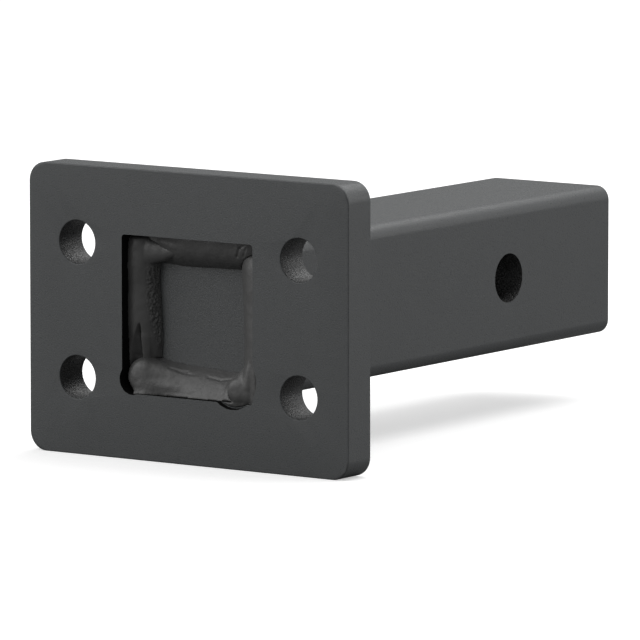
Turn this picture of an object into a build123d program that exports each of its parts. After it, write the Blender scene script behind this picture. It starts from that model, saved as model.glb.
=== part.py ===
from build123d import *
import math
import os

# Pintle hook mount: a thick steel plate with four bolt holes, welded round the
# end of a solid square shank. Sizes are in millimetres. The origin is the
# middle of the bolt pattern on the plate's front face, +X is to the right of
# someone who faces the plate, +Y runs back along the shank, and +Z is up.

# Plate
plate_width = 127.0
plate_height = 95.25
plate_thickness = 12.7
plate_corner_radius = 6.35
plate_edge_bevel = 0.4

# Bolt pattern for the hook
bolt_spacing_across = 88.1
bolt_spacing_up = 44.45
bolt_hole_diameter = 14.3
bolt_hole_bevel = 0.3

# Shank: its front end stands in the plate's opening, behind the front face
shank_size = 50.8
shank_length = 203.2
shank_edge_radius = 4.76
shank_tail_bevel = 0.8
shank_recess = 10.0

# Hitch-pin hole across the shank, measured from the shank's tail
pin_hole_diameter = 16.7
pin_hole_from_tail = 62.9

# Opening that the shank's end stands in, with its corner low on the left burned away
opening_clearance = 0.6
opening_corner_radius = 1.2
burn_radius = 5.0
burn_aside = 1.0
burn_below = 0.4

# Weld runs in the recess: how far along the opening each one reaches, as a share
# of the opening's size. The sizes at a run's stations are given in legs.
left_run_reach = 0.87
bottom_run_start = 0.035
bottom_run_reach = 0.98
right_run_reach = 0.945
top_run_reach = 0.91
front_leg = 9.4
weld_section_spacing = 6.0
weld_end_steps = 3
weld_end_bluntness = 3.5
weld_flat_count = 10
weld_trim = 2.0

# Puddles where the bottom run starts and where the right run stops
start_puddle_radius = 6.1
start_puddle_from_side = 5.7
start_puddle_from_bottom = 5.6
start_puddle_crown_depth = 0.9
start_puddle_dome = 5.0
stop_puddle_radius = 4.3
stop_puddle_from_side = 7.1
stop_puddle_from_bottom = 4.0
stop_puddle_crown_depth = 0.4
stop_puddle_dome = 2.2
puddle_bluntness = 2.8
puddle_flat_count = 5

# Weld run round the shank on the plate's back
rear_shank_leg = 8.5
rear_plate_leg = 7.5
rear_crown = 1.0
rear_flat_count = 4

# Pool where the right run stops, melted into the plate's corner low on the right
pool_radius = 9.2
pool_from_side = 8.1
pool_from_bottom = 7.4
pool_crown_depth = 0.6
pool_rim_depth = 1.6
pool_groove = 0.35
pool_cone_depth = 4.5

# Places worked out from the sizes
opening_size = shank_size + 2 * opening_clearance
wall = opening_size / 2
shank_side = shank_size / 2
shank_tail = shank_recess + shank_length
pin_hole_place = shank_tail - pin_hole_from_tail


def make_opening(depth):
    """Block of the opening's outline, from the plate's front face back to depth."""
    with BuildPart() as opening:
        with BuildSketch(Plane.XZ) as outline:
            Rectangle(opening_size, opening_size)
            burned_corner = outline.vertices().sort_by(lambda corner: corner.X + corner.Y)[0]
            fillet(burned_corner, burn_radius - burn_aside)
            square_corners = outline.vertices().sort_by(lambda corner: corner.X + corner.Y)[-3:]
            fillet(square_corners, opening_corner_radius)
            with Locations((burn_radius - burn_aside - wall, burn_radius - burn_below - wall)):
                Circle(burn_radius)
        extrude(amount=-depth)
    return opening.part.solid()


def make_plate():
    """Flat plate with rounded corners, four bolt holes and a square opening."""
    with BuildPart() as plate:
        with BuildSketch(Plane.XZ):
            RectangleRounded(plate_width, plate_height, plate_corner_radius)
        extrude(amount=-plate_thickness)
        rims = plate.faces().sort_by(Axis.Y)
        chamfer(rims[0].edges() + rims[-1].edges(), plate_edge_bevel)
        with BuildSketch(Plane.XZ):
            with GridLocations(bolt_spacing_across, bolt_spacing_up, 2, 2):
                Circle(bolt_hole_diameter / 2)
        extrude(amount=-plate_thickness, mode=Mode.SUBTRACT)
        bolt_rims = plate.edges().filter_by(GeomType.CIRCLE).filter_by(
            lambda rim: abs(rim.radius - bolt_hole_diameter / 2) < 0.01
        )
        chamfer(bolt_rims, bolt_hole_bevel)
    return plate.part - make_opening(plate_thickness)


def make_shank():
    """Solid square bar with rounded long edges and a hole across for the hitch pin."""
    with BuildPart() as shank:
        with BuildSketch(Plane.XZ.offset(-shank_recess)):
            RectangleRounded(shank_size, shank_size, shank_edge_radius)
        extrude(amount=-shank_length)
        tail_face = shank.faces().sort_by(Axis.Y)[-1]
        chamfer(tail_face.edges(), shank_tail_bevel)
        with BuildSketch(Plane.YZ.offset(-shank_size)):
            with Locations((pin_hole_place, 0)):
                Circle(pin_hole_diameter / 2)
        extrude(amount=2 * shank_size, mode=Mode.SUBTRACT)
    return shank.part


def fillet_section(place, first_leg, second_leg, crown, flat_count):
    """Section of a weld run: its legs lie along y and x of place, with a crowned face between.

    The crown is made of flats. The section goes on past the legs by weld_trim, so
    that it can be cut back to the steel.
    """
    chord = math.hypot(first_leg, second_leg)
    crowned_face = []
    for corner in range(flat_count + 1):
        up = corner / flat_count
        bulge = 4 * up * (1 - up) * crown
        across = second_leg * (1 - up) + bulge * first_leg / chord
        crowned_face.append((across, first_leg * up + bulge * second_leg / chord))
    with BuildSketch(place) as section:
        with BuildLine():
            Polyline(crowned_face)
            Polyline(
                (0, first_leg),
                (-weld_trim, first_leg),
                (-weld_trim, -weld_trim),
                (second_leg, -weld_trim),
                (second_leg, 0),
            )
        make_face()
    return section.sketch.face()


def size_between(stations, along):
    """Legs and crown at a place along a run, eased from one station to the next."""
    for near, far in zip(stations, stations[1:]):
        if along <= far[0]:
            share = (along - near[0]) / (far[0] - near[0])
            ease = (1 - math.cos(math.pi * share)) / 2
            return [a + (b - a) * ease for a, b in zip(near[1:], far[1:])]
    return list(stations[-1][1:])


def weld_run(corner, length, leg, stations, round_start, round_finish):
    """A run of weld laid along an inside corner.

    corner is a plane at the run's start: y goes up the first face, x goes over
    the second, and z is the way the run goes. Each station is the share of
    length along the run, and then the leg on the first face, the leg on the
    second and the crown, in legs. round_start and round_finish say which ends
    are rounded off.
    """
    scaled = [[s[0] * length] + [size * leg for size in s[1:]] for s in stations]
    first = scaled[0]
    last = scaled[-1]
    power = 2 / weld_end_bluntness
    turns = [math.radians(90 * step / weld_end_steps) for step in range(1, weld_end_steps)]
    sections = []
    if round_start:
        for turn in turns:
            along = first[0] * (1 - math.cos(turn) ** power)
            sections.append((along, [size * math.sin(turn) ** power for size in first[1:]]))
    spans = round((last[0] - first[0]) / weld_section_spacing)
    for span in range(spans + 1):
        along = first[0] + (last[0] - first[0]) * span / spans
        sections.append((along, size_between(scaled, along)))
    if round_finish:
        for turn in reversed(turns):
            along = last[0] + (length - last[0]) * math.cos(turn) ** power
            sections.append((along, [size * math.sin(turn) ** power for size in last[1:]]))
    faces = [fillet_section(corner.offset(along), *sizes, weld_flat_count) for along, sizes in sections]
    return Solid.make_loft([face.outer_wire() for face in faces], ruled=True)


def turned(profile, x, z):
    """Solid turned from a profile about the Y direction, and set at x and z."""
    with BuildPart() as turned_builder:
        with BuildSketch(Plane.XY):
            add(make_face(profile))
        revolve(axis=Axis.Y)
    return turned_builder.part.solid().moved(Location((x, 0, z)))


def make_pool():
    """Metal that fills the melted corner, with a ball-shaped top, its rim deeper than its crown."""
    back = shank_recess
    foot = pool_from_bottom - opening_clearance
    rise = pool_rim_depth - pool_crown_depth
    ball = (pool_radius**2 + rise**2) / (2 * rise)
    halfway_depth = pool_crown_depth + ball - math.sqrt(ball**2 - pool_radius**2 / 4)
    sides = Polyline(
        (0, pool_crown_depth),
        (0, back),
        (foot, back),
        (foot, pool_cone_depth),
        (pool_radius, pool_rim_depth),
    )
    top = ThreePointArc(
        (pool_radius, pool_rim_depth), (pool_radius / 2, halfway_depth), (0, pool_crown_depth)
    )
    return turned([sides, top], wall - pool_from_side, pool_from_bottom - wall)


def make_melted_corner():
    """What the pool melted out of the plate: its own shape and a narrow groove round its rim."""
    back = shank_recess + weld_trim
    foot = pool_from_bottom - opening_clearance
    mouth = pool_radius + pool_groove
    outline = Polyline(
        (0, -weld_trim),
        (0, back),
        (foot, back),
        (foot, pool_cone_depth),
        (pool_radius, pool_rim_depth),
        (mouth, 0),
        (mouth, -weld_trim),
        (0, -weld_trim),
    )
    return turned([outline], wall - pool_from_side, pool_from_bottom - wall)


def make_puddle(radius, x, z, crown_depth, dome):
    """Puddle that a run starts or stops with, blunt on top and set at x and z."""
    power = 2 / puddle_bluntness
    profile = [(0, shank_recess), (radius, shank_recess)]
    for corner in range(puddle_flat_count):
        turn = math.radians(90 * corner / puddle_flat_count)
        depth = crown_depth + dome * (1 - math.sin(turn) ** power)
        profile.append((radius * math.cos(turn) ** power, depth))
    profile.append((0, crown_depth))
    return turned([Polyline(*profile, close=True)], x, z)


def main_solid(shape):
    """The largest solid of a cut run, without any sliver that the cut left in a corner."""
    return shape.solids().sort_by(SortBy.VOLUME)[-1]


plate = make_plate() - make_melted_corner()
shank = make_shank()

# Left run, from the top wall down
left_raw = weld_run(
    Plane(origin=(-wall, shank_recess, wall), x_dir=(1, 0, 0), z_dir=(0, 0, -1)),
    opening_size * left_run_reach,
    front_leg,
    [
        (0.10, 0.70, 1.02, 0.26),
        (0.22, 0.74, 0.92, 0.26),
        (0.40, 0.69, 0.90, 0.24),
        (0.58, 0.73, 0.98, 0.26),
        (0.73, 0.68, 1.02, 0.24),
        (0.90, 0.64, 0.98, 0.22),
    ],
    True,
    True,
)

# Bottom run, from left to right, over the left run's lower end
bottom_raw = weld_run(
    Plane(origin=(-wall, shank_recess, -wall), x_dir=(0, 0, 1), z_dir=(1, 0, 0)).offset(
        opening_size * bottom_run_start
    ),
    opening_size * bottom_run_reach,
    front_leg,
    [
        (0.11, 1.01, 1.22, 0.26),
        (0.23, 0.86, 1.11, 0.27),
        (0.37, 0.82, 1.02, 0.29),
        (0.51, 0.86, 0.99, 0.27),
        (0.65, 0.83, 0.92, 0.28),
        (0.81, 0.93, 0.94, 0.25),
        (1.00, 0.95, 0.92, 0.25),
    ],
    True,
    False,
)

# Right run, from below the bottom wall up, under the pool
right_raw = weld_run(
    Plane(origin=(wall, shank_recess, -wall), x_dir=(-1, 0, 0), z_dir=(0, 0, 1)),
    opening_size * right_run_reach,
    front_leg,
    [
        (0.00, 0.96, 1.00, 0.24),
        (0.25, 1.00, 0.93, 0.23),
        (0.42, 1.01, 0.91, 0.22),
        (0.60, 0.98, 0.98, 0.23),
        (0.77, 1.01, 1.04, 0.22),
        (0.89, 0.98, 1.09, 0.22),
    ],
    False,
    True,
)

# Top run, from right to left, thinner towards the left run that was laid over it
top_raw = weld_run(
    Plane(origin=(wall, shank_recess, wall), x_dir=(0, 0, -1), z_dir=(-1, 0, 0)),
    opening_size * top_run_reach,
    front_leg,
    [
        (0.09, 0.89, 1.02, 0.24),
        (0.25, 0.85, 1.05, 0.23),
        (0.42, 0.88, 1.07, 0.24),
        (0.60, 0.83, 1.09, 0.22),
        (0.76, 0.72, 1.09, 0.20),
        (0.88, 0.50, 1.04, 0.14),
    ],
    True,
    True,
)

# Weld metal fills only the recess and the corner that the pool melted
recess = make_opening(shank_recess)
start_puddle = make_puddle(
    start_puddle_radius,
    start_puddle_from_side - wall,
    start_puddle_from_bottom - wall,
    start_puddle_crown_depth,
    start_puddle_dome,
)
stop_puddle = make_puddle(
    stop_puddle_radius,
    wall - stop_puddle_from_side,
    stop_puddle_from_bottom - wall,
    stop_puddle_crown_depth,
    stop_puddle_dome,
)
right_metal = (right_raw & recess).fuse(make_pool() - recess).fuse(stop_puddle)
right_run = main_solid(right_metal - plate)
bottom_run = main_solid((bottom_raw.fuse(start_puddle) & recess) - right_run)
left_run = main_solid((left_raw & recess) - bottom_run)
top_run = main_solid((top_raw & recess) - left_run - right_run)

# Rear run, once round the shank on the plate's back
rear_start = Plane(origin=(shank_side, plate_thickness, 0), x_dir=(1, 0, 0), z_dir=(0, 0, 1))
shank_outline = Plane.XZ.offset(-plate_thickness) * RectangleRounded(
    shank_size, shank_size, shank_edge_radius
)
rear_section = fillet_section(
    rear_start, rear_shank_leg, rear_plate_leg, rear_crown, rear_flat_count
)
rear_weld = sweep(rear_section, path=shank_outline.wire()) - shank - plate - recess

os.makedirs("parts", exist_ok=True)
export_step(plate, "parts/mounting_plate.step")
export_step(shank, "parts/shank_bar.step")
export_step(left_run, "parts/front_weld_left.step")
export_step(bottom_run, "parts/front_weld_bottom.step")
export_step(right_run, "parts/front_weld_right.step")
export_step(top_run, "parts/front_weld_top.step")
export_step(rear_weld, "parts/rear_weld.step")
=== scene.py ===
import math
import bmesh
import bpy
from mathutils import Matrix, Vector, noise


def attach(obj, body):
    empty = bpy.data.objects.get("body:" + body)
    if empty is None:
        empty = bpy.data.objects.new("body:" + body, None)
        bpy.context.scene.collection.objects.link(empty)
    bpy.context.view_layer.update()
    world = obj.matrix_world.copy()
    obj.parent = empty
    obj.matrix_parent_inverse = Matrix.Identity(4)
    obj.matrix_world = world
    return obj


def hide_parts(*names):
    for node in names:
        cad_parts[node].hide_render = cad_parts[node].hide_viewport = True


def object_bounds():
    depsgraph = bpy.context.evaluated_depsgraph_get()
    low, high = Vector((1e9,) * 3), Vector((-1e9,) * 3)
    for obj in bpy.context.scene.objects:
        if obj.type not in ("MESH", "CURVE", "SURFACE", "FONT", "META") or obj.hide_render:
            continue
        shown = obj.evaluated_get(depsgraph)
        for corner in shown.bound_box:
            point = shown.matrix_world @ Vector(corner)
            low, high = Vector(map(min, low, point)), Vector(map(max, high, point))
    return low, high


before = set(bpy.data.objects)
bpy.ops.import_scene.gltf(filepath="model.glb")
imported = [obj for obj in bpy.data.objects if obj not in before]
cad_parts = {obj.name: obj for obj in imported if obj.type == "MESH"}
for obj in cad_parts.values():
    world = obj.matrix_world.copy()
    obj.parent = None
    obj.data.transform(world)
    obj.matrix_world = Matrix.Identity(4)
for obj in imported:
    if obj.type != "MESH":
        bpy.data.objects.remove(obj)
cad_low, cad_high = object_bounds()
mm = 0.001

# Mounting plate
# A slab of hot-rolled steel, flame cut to a square opening and drilled for four
# bolts, shot blasted and powder coated black together with everything welded to it.
bolt_radius = 7.15 * mm
bolt_places = [(x * 44.05 * mm, z * 22.225 * mm) for x in (-1, 1) for z in (-1, 1)]
opening_reach = 29.1 * mm
bore_allowance = 0.1 * mm
steel_black = (0.062, 0.0655, 0.067)
# Near black painted on the opening's walls as shade, where the recess keeps the light off them.
opening_shade_black = (0.008, 0.008, 0.008)
# The bolt holes' walls are painted darker than the coat, as shade inside the holes.
bolt_hole_shade_black = (0.020, 0.021, 0.0215)


def powder_coat(name, colour, grain_size, grain_depth, roughness, sparkle, cloudiness, gloss=0.5):
    """Baked powder coat: an even black with fine orange-peel grain and a faint cloudy sheen.

    Sparkle is how far the roughness swings from grain to grain, and cloudiness is how far
    the black drifts over a finger's width. Gloss is the shader's specular level.
    """
    clouds_per_metre = 60.0
    grain_low, grain_high = 0.35, 0.65
    material = bpy.data.materials.new(name)
    material.use_nodes = True
    nodes = material.node_tree.nodes
    link = material.node_tree.links.new
    coat = nodes["Principled BSDF"]
    place = nodes.new("ShaderNodeTexCoord")
    grain = nodes.new("ShaderNodeTexNoise")
    grain.inputs["Scale"].default_value = 1 / grain_size
    grain.inputs["Detail"].default_value = 2.0
    grain.inputs["Roughness"].default_value = 0.6
    cloud = nodes.new("ShaderNodeTexNoise")
    cloud.inputs["Scale"].default_value = clouds_per_metre
    cloud.inputs["Detail"].default_value = 3.0
    for texture in (grain, cloud):
        link(place.outputs["Object"], texture.inputs["Vector"])
    shade = nodes.new("ShaderNodeMapRange")
    shade.inputs["To Min"].default_value = 1 - cloudiness
    shade.inputs["To Max"].default_value = 1 + cloudiness
    link(cloud.outputs["Fac"], shade.inputs["Value"])
    tint = nodes.new("ShaderNodeVectorMath")
    tint.operation = "SCALE"
    tint.inputs[0].default_value = colour
    link(shade.outputs["Result"], tint.inputs["Scale"])
    link(tint.outputs["Vector"], coat.inputs["Base Color"])
    sheen = nodes.new("ShaderNodeMapRange")
    sheen.inputs["From Min"].default_value = grain_low
    sheen.inputs["From Max"].default_value = grain_high
    sheen.inputs["To Min"].default_value = roughness - sparkle
    sheen.inputs["To Max"].default_value = roughness + sparkle
    link(grain.outputs["Fac"], sheen.inputs["Value"])
    link(sheen.outputs["Result"], coat.inputs["Roughness"])
    relief = nodes.new("ShaderNodeBump")
    relief.inputs["Strength"].default_value = 1.0
    relief.inputs["Distance"].default_value = grain_depth
    link(grain.outputs["Fac"], relief.inputs["Height"])
    link(relief.outputs["Normal"], coat.inputs["Normal"])
    coat.inputs["Specular IOR Level"].default_value = gloss
    return material


def steel_coat(name):
    """The coat as it lies on flat steel, the same on the plate and on the shank."""
    return powder_coat(name, steel_black, 0.45 * mm, 0.08 * mm, 0.44, 0.18, 0.05)


def merged_copy(node, name):
    """A joined-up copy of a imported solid, to be finished and shown in its place."""
    same_point = 0.002 * mm
    skin = bmesh.new()
    skin.from_mesh(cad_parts[node].data)
    bmesh.ops.remove_doubles(skin, verts=skin.verts, dist=same_point)
    mesh = bpy.data.meshes.new(name)
    skin.to_mesh(mesh)
    skin.free()
    piece = bpy.data.objects.new(name, mesh)
    bpy.context.collection.objects.link(piece)
    return piece


def soften(piece):
    """Shades a piece smooth but for its real edges, and keeps its flat faces flat."""
    sharp_angle = math.radians(50)
    skin = bmesh.new()
    skin.from_mesh(piece.data)
    for face in skin.faces:
        face.smooth = True
    for edge in skin.edges:
        edge.smooth = len(edge.link_faces) == 2 and edge.calc_face_angle(0) < sharp_angle
    skin.to_mesh(piece.data)
    skin.free()
    even = piece.modifiers.new("even_faces", "WEIGHTED_NORMAL")
    even.keep_sharp = True
    even.weight = 60


plate = merged_copy("mounting_plate", "plate_steel")
plate.data.materials.append(steel_coat("plate_coat"))
# The opening's walls: a near-black coat without specular, painted shade rather than the steel's
# own colour.
plate.data.materials.append(
    powder_coat("opening_wall", opening_shade_black, 0.6 * mm, 0.08 * mm, 0.6, 0.0, 0.2, gloss=0.0)
)
# The bolt holes' walls: a darker coat that stands for the shade inside them.
plate.data.materials.append(
    powder_coat("bolt_hole_wall", bolt_hole_shade_black, 0.55 * mm, 0.25 * mm, 0.42, 0.25, 0.15, gloss=0.6)
)
# Faces on the walls of the opening and of the bolt holes take their painted shade here.
for face in plate.data.polygons:
    face_x, _, face_z = face.center
    is_wall = abs(face.normal.y) < 0.5
    from_bolt = min(math.hypot(face_x - x, face_z - z) for x, z in bolt_places)
    if is_wall and max(abs(face_x), abs(face_z)) < opening_reach:
        face.material_index = plate.data.materials.find("opening_wall")
    elif is_wall and from_bolt < bolt_radius + bore_allowance:
        face.material_index = plate.data.materials.find("bolt_hole_wall")
soften(plate)
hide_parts("mounting_plate")
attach(plate, "root")

# Shank
# A solid square bar of cold-drawn steel with rounded long edges, cross drilled for
# the hitch pin, under the same coat of powder.
pin_hole_radius = 8.35 * mm
pin_hole_place = 150.3 * mm
# The pin hole's wall is painted darker than the coat, as shade inside the hole.
pin_hole_shade_black = (0.022, 0.022, 0.022)
shank = merged_copy("shank_bar", "shank_steel")
shank.data.materials.append(steel_coat("shank_coat"))
# The pin hole's wall: a darker coat that stands for the shade inside the hole.
shank.data.materials.append(
    powder_coat("pin_hole_wall", pin_hole_shade_black, 0.55 * mm, 0.5 * mm, 0.38, 0.3, 0.3, gloss=1.0)
)
for face in shank.data.polygons:
    is_wall = abs(face.normal.x) < 0.5
    from_pin = math.hypot(face.center.y - pin_hole_place, face.center.z)
    if is_wall and from_pin < pin_hole_radius + bore_allowance:
        face.material_index = shank.data.materials.find("pin_hole_wall")
soften(shank)
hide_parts("shank_bar")
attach(shank, "root")

# Welds in the recess
# Four fat hand-laid runs round the shank's end, with a round pool where the last
# one stopped. The powder has flowed out smooth over them.
recess_reach = 26.0 * mm
recess_floor = 10.0 * mm
pool_middle = Vector((17.9, 1.0, -18.6)) * mm
pool_reach = 9.4 * mm
pool_depth = 3.0 * mm
front_voxel = 0.26 * mm
relief_margin = 1.0 * mm
weld_black = (0.0625, 0.0625, 0.062)


def ramp(value, start, end):
    """Rises evenly from 0 at start to 1 at end, and stays there."""
    return min(max((value - start) / (end - start), 0), 1)


def recess_gap(place):
    """How far a point is from the recess's walls and floor. The melted pool's face is free."""
    walls = min(recess_reach - abs(place.x), recess_reach - abs(place.z))
    if place.y < pool_depth and (place - pool_middle).length < pool_reach:
        walls = relief_margin
    return min(walls, recess_floor - place.y)


def fold(place, start, end, width, depth):
    """A crease from start to end, where one pass of metal lies over another, in millimetres."""
    steepness = 3
    first, last = Vector(start) * mm, Vector(end) * mm
    run = last - first
    share = ramp((place - first).dot(run), 0, run.length_squared)
    away = (place - first - run * share).length / (width * mm)
    return -depth * mm * math.exp(-steepness * away * away)


def waves(place, size, height):
    """Uneven swell left by the puddle, in millimetres, the same on every run of the script."""
    return height * mm * noise.noise(place / (size * mm))


def pass_of_metal(skin, puddles):
    """Adds the metal laid from puddle to puddle, each with its middle and radii in millimetres."""
    pattern = bmesh.new()
    bmesh.ops.create_icosphere(pattern, subdivisions=3, radius=mm)
    ball = [vertex.co.copy() for vertex in pattern.verts]
    pattern.free()
    for near, far in zip(puddles, puddles[1:]):
        wrap = bmesh.new()
        for middle, radii in (near, far):
            for spot in ball:
                wrap.verts.new(Vector(middle) * mm + spot * Vector(radii))
        made = bmesh.ops.convex_hull(wrap, input=wrap.verts)
        inside = [part for part in made["geom_interior"] if isinstance(part, bmesh.types.BMVert)]
        bmesh.ops.delete(wrap, geom=inside, context="VERTS")
        laid = bpy.data.meshes.new("laid")
        wrap.to_mesh(laid)
        wrap.free()
        skin.from_mesh(laid)
        bpy.data.meshes.remove(laid)


def weld_bead(node, name, voxel, rounds, passes, relief, gap):
    """A run of weld metal, remeshed fine and eased, with its toes kept on the steel.

    Gap tells how far a point is from the steel, and relief how far to raise it there.
    """
    piece = merged_copy(node, name)
    skin = bmesh.new()
    skin.from_mesh(piece.data)
    for puddles in passes:
        pass_of_metal(skin, puddles)
    skin.to_mesh(piece.data)
    skin.free()
    fine = piece.modifiers.new("fine", "REMESH")
    fine.mode = "VOXEL"
    fine.voxel_size = voxel
    graph = bpy.context.evaluated_depsgraph_get()
    mesh = bpy.data.meshes.new_from_object(piece.evaluated_get(graph))
    mesh.materials.clear()
    mesh.materials.append(weld_coat)
    piece.modifiers.clear()
    piece.data = mesh
    skin = bmesh.new()
    skin.from_mesh(mesh)
    held = [(vertex, vertex.co.copy()) for vertex in skin.verts if gap(vertex.co) < voxel]
    for _ in range(rounds):
        bmesh.ops.smooth_vert(
            skin, verts=skin.verts, factor=0.5, use_axis_x=True, use_axis_y=True, use_axis_z=True
        )
        for vertex, place in held:
            vertex.co = place
    skin.normal_update()
    for vertex in skin.verts:
        fade = ramp(gap(vertex.co), 0, relief_margin)
        vertex.co = vertex.co + vertex.normal * relief(vertex.co) * fade
    for face in skin.faces:
        face.smooth = True
    skin.to_mesh(mesh)
    skin.free()
    return piece


def left_relief(place):
    """The left run: a hollow low beside the wall, and a rough flank towards the shank.

    The flank's edge moves towards the shank lower down, and the hollow widens and deepens.
    """
    x, z = place.x / mm, place.z / mm
    flank_fade = 1.2
    hollow_edge = -21.6
    hollow_rim = -0.2
    height = waves(place, 2.6, 0.12)
    flank_edge = -20.3 + 3.2 * ramp(z, 4, -14)
    flank = ramp(x, flank_edge, flank_edge + flank_fade) * ramp(z, 17, 14)
    height += flank * (waves(place, 0.85, 0.36) + waves(place, 0.5, 0.26))
    drop = ramp(z, -3.2, -14.2)
    hollow_width = 0.6 + 4.4 * drop
    hollow_depth = 4.4 * drop**0.6
    aside = (hollow_edge - x) / hollow_width
    if drop > 0 and hollow_rim < aside < 1:
        height -= hollow_depth * mm * (1 - max(aside, 0)) * ramp(aside, hollow_rim, 0)
    return height


def bottom_relief(place):
    """The bottom run: flatter past its fat start, with uneven swell and small laps."""
    x = place.x / mm
    flattening = 1.4 * mm
    flat = ramp(x, -22, 4) * ramp(x, 17, 12)
    turn = math.atan2(place.z + recess_reach, recess_floor - place.y)
    height = waves(place, 4.5, 0.12) + waves(place, 1.6, 0.07) + waves(place, 0.8, 0.03)
    height -= flattening * flat * max(math.sin(2 * turn), 0)
    height += fold(place, (-10.8, 5.4, -16.9), (-4.6, 6.4, -17.4), 0.9, 0.22)
    height += fold(place, (-7.8, 5.6, -17.8), (-3.4, 5.8, -18.1), 0.8, 0.18)
    height += fold(place, (4.2, 5.85, -18.25), (8.8, 5.55, -18.8), 0.9, 0.22)
    height += fold(place, (8.8, 5.55, -18.8), (13.4, 6.5, -18.1), 0.9, 0.25)
    return height


def right_relief(place):
    """The right run and the pool that it stops in."""
    return waves(place, 3.2, 0.10) + waves(place, 1.1, 0.03)


def top_relief(place):
    """The top run: a long crease above the left run's lobe, and ripples at its start."""
    height = waves(place, 3.0, 0.14) + waves(place, 1.0, 0.05)
    height += fold(place, (-18.6, 5.6, 25.2), (-6.7, 3.4, 24.0), 1.6, 0.2)
    height += fold(place, (17.6, 3.2, 21.2), (19.2, 2.2, 24.2), 0.7, 0.4)
    height += fold(place, (19.2, 2.2, 24.2), (21.6, 1.8, 25.4), 0.7, 0.35)
    height += fold(place, (20.4, 3.0, 21.6), (22.0, 2.1, 24.4), 0.6, 0.3)
    return height


weld_coat = powder_coat("weld_coat", weld_black, 0.5 * mm, 0.02 * mm, 0.46, 0.05, 0.08)

# The left run's lobe over the top run's end, and its own low end beside the wall.
left_passes = [
    [((-19.5, 6.8, 20.4), (4.4, 2.4, 4.6)), ((-12.8, 6.9, 20.5), (3.2, 1.9, 2.8))],
    [((-12.8, 6.9, 20.5), (3.2, 1.9, 2.8)), ((-5.0, 5.2, 21.9), (1.2, 1.4, 0.8))],
    [((-22.4, 8.0, -8.0), (4.2, 4.4, 4.0)), ((-22.4, 8.6, -21.0), (4.0, 4.4, 4.0))],
]

# The bottom run's fat start, which thins out along the run.
bottom_passes = [
    [((-20.2, 6.0, -20.6), (5.8, 5.2, 6.2)), ((2.0, 10.0, -23.0), (4.2, 5.0, 4.2))],
    [((-19.6, 5.4, -22.6), (4.6, 4.8, 4.2)), ((-4.0, 7.4, -23.4), (4.4, 5.2, 3.6))],
]

# The right run's thickening end, the ring round its last puddle and the pool's rim.
right_passes = [
    [((23.4, 7.2, -14.6), (2.8, 4.2, 3.2)), ((19.2, 5.0, -21.6), (5.0, 4.5, 5.0))],
    [((24.0, 5.7, -12.6), (2.4, 4.6, 3.4)), ((22.8, 4.8, -20.4), (4.0, 4.2, 4.8))],
    [((19.2, 5.0, -21.6), (5.0, 4.5, 5.0)), ((22.4, 4.6, -23.4), (3.8, 4.1, 4.0))],
    [((26.0, 1.9, -14.8), (1.4, 1.3, 1.6)), ((26.2, 1.9, -22.0), (1.4, 1.3, 1.6))],
]

# Each run's name, its rounds of easing, its passes and its relief.
runs = [
    ("left", 10, left_passes, left_relief),
    ("bottom", 70, bottom_passes, bottom_relief),
    ("right", 24, right_passes, right_relief),
    ("top", 8, [], top_relief),
]
for side, rounds, passes, relief in runs:
    bead = weld_bead(
        "front_weld_" + side, "bead_" + side, front_voxel, rounds, passes, relief, recess_gap
    )
    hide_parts("front_weld_" + side)
    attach(bead, "root")

# Weld on the plate's back
# One fillet run of the same weld metal all round the shank, laid in short weaves
# that left ripples, and coated with the rest.
plate_back = 12.7 * mm
shank_side = 25.4 * mm
rear_leg = 7.5 * mm
rear_voxel = 0.45 * mm
rear_rounds = 3
ripples_to_a_side = 8.5


def rear_gap(place):
    """How far a point is from the plate's back and from the shank's sides."""
    return min(place.y - plate_back, max(abs(place.x), abs(place.z)) - shank_side)


def rear_relief(place):
    """Crescent ripples round the shank, one to each step of the welder's weave."""
    x, z = place.x, place.z
    ripple_height = 0.13 * mm
    ripple_bow = 9.0
    ripple_stray = 2.2
    stray_size = 8 * mm
    turn = z / x if abs(x) > abs(z) else 2 - x / z
    across = (max(abs(x), abs(z)) - shank_side) / rear_leg
    bow = ripple_bow * (across - 0.5) ** 2
    stray = ripple_stray * noise.noise(place / stray_size)
    step = turn * ripples_to_a_side * math.tau + bow + stray
    ripple = math.sin(step) + 0.3 * math.sin(2 * step)
    return ripple_height * ripple + waves(place, 5.0, 0.3) + waves(place, 1.2, 0.06)


rear_bead = weld_bead(
    "rear_weld", "bead_rear", rear_voxel, rear_rounds, [], rear_relief, rear_gap
)
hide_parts("rear_weld")
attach(rear_bead, "root")

# Floor
# Pale paper under the object. The camera sees it white, and to other rays it is dim,
# so that it throws little light back up on the steel.
floor_level = cad_low.z - 0.05 * mm
floor_reach = 30.0
paper_white = (0.8, 0.8, 0.8, 1)
paper_dim = (0.19, 0.19, 0.19, 1)
paper_glow = 0.45


def seen_by_camera(nodes, link):
    """One for what the camera sees, straight or through something clear, and zero for the rest."""
    ray = nodes.new("ShaderNodeLightPath")
    seen = nodes.new("ShaderNodeMath")
    seen.operation = "MAXIMUM"
    link(ray.outputs["Is Camera Ray"], seen.inputs[0])
    link(ray.outputs["Is Transmission Ray"], seen.inputs[1])
    return seen.outputs["Value"]


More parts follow.
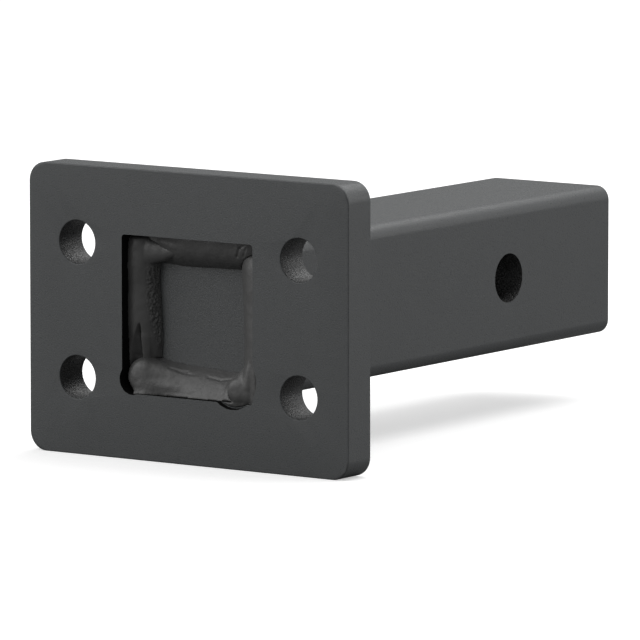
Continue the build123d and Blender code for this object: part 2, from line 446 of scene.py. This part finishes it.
sheet = bmesh.new()
bmesh.ops.create_grid(sheet, x_segments=1, y_segments=1, size=floor_reach)
bmesh.ops.translate(sheet, verts=sheet.verts, vec=(0, 0, floor_level))
floor_mesh = bpy.data.meshes.new("floor")
sheet.to_mesh(floor_mesh)
sheet.free()
floor = bpy.data.objects.new("floor", floor_mesh)
bpy.context.collection.objects.link(floor)
paper = bpy.data.materials.new("paper")
paper.use_nodes = True
paper_nodes = paper.node_tree.nodes
paper_link = paper.node_tree.links.new
paper_nodes.remove(paper_nodes["Principled BSDF"])
pale = paper_nodes.new("ShaderNodeBsdfDiffuse")
pale.inputs["Color"].default_value = paper_white
dim = paper_nodes.new("ShaderNodeBsdfDiffuse")
dim.inputs["Color"].default_value = paper_dim
glow = paper_nodes.new("ShaderNodeEmission")
glow.inputs["Strength"].default_value = paper_glow
lit = paper_nodes.new("ShaderNodeAddShader")
paper_link(pale.outputs["BSDF"], lit.inputs[0])
paper_link(glow.outputs["Emission"], lit.inputs[1])
either = paper_nodes.new("ShaderNodeMixShader")
paper_link(seen_by_camera(paper_nodes, paper_link), either.inputs["Fac"])
paper_link(dim.outputs["BSDF"], either.inputs[1])
paper_link(lit.outputs["Shader"], either.inputs[2])
paper_link(either.outputs["Shader"], paper_nodes["Material Output"].inputs["Surface"])
floor.data.materials.append(paper)

# Backdrop and light
# White all round to the camera. A soft key and a higher one stand at the front left, a
# wide light high behind and a fill at the right rear, so the recess's left is in shade.
backdrop_strength = 1.0
room_strength = 0.36
world = bpy.data.worlds.new("studio")
bpy.context.scene.world = world
world.use_nodes = True
air = world.node_tree.nodes
air_link = world.node_tree.links.new
backdrop = air["Background"]
backdrop.inputs["Color"].default_value = (1, 1, 1, 1)
backdrop.inputs["Strength"].default_value = backdrop_strength
room = air.new("ShaderNodeBackground")
room.inputs["Color"].default_value = (1, 1, 1, 1)
room.inputs["Strength"].default_value = room_strength
air_mix = air.new("ShaderNodeMixShader")
air_link(seen_by_camera(air, air_link), air_mix.inputs["Fac"])
air_link(room.outputs["Background"], air_mix.inputs[1])
air_link(backdrop.outputs["Background"], air_mix.inputs[2])
air_link(air_mix.outputs["Shader"], air["World Output"].inputs["Surface"])
object_middle = (cad_low + cad_high) / 2


def soft_light(name, azimuth, elevation, distance, size, power):
    """A square softbox aimed at the object's middle. Azimuth 0 is in front, 90 on its right.

    Angles are in degrees, distance and size in metres, and power in watts.
    """
    lamp = bpy.data.lights.new(name, "AREA")
    lamp.shape = "SQUARE"
    lamp.size = size
    lamp.energy = power
    holder = bpy.data.objects.new(name, lamp)
    bpy.context.collection.objects.link(holder)
    turn, lift = math.radians(azimuth), math.radians(elevation)
    away = Vector(
        (math.sin(turn) * math.cos(lift), -math.cos(turn) * math.cos(lift), math.sin(lift))
    )
    holder.location = object_middle + away * distance
    holder.rotation_euler = (-away).to_track_quat("-Z", "Y").to_euler()


soft_light("key", -48, 20, 3.0, 2.6, 38)
soft_light("key_high", -30, 50, 3.0, 2.6, 22)
soft_light("high_rear", 165, 62, 1.5, 1.5, 17)
soft_light("right_rear", 120, 15, 1.6, 1.2, 9.5)

# Camera
# A long lens at the front right, a little above the object, as the photo was taken. Its
# place, turn and drop come from a fit to the photo's edges and hole outlines.
lens_length = 444.90
lens_place = (1.481805, -2.057208, 0.327465)
lens_turn = math.radians(34.792)
lens_drop = math.radians(7.365)
camera_data = bpy.data.cameras.new("camera")
camera_data.lens = lens_length
camera_data.sensor_width = 36.0
camera_data.clip_end = 100.0
camera = bpy.data.objects.new("camera", camera_data)
camera.location = lens_place
camera.rotation_euler = (math.pi / 2 - lens_drop, 0, lens_turn)
bpy.context.collection.objects.link(camera)
bpy.context.scene.camera = camera
bpy.context.scene.view_settings.view_transform = "Standard"
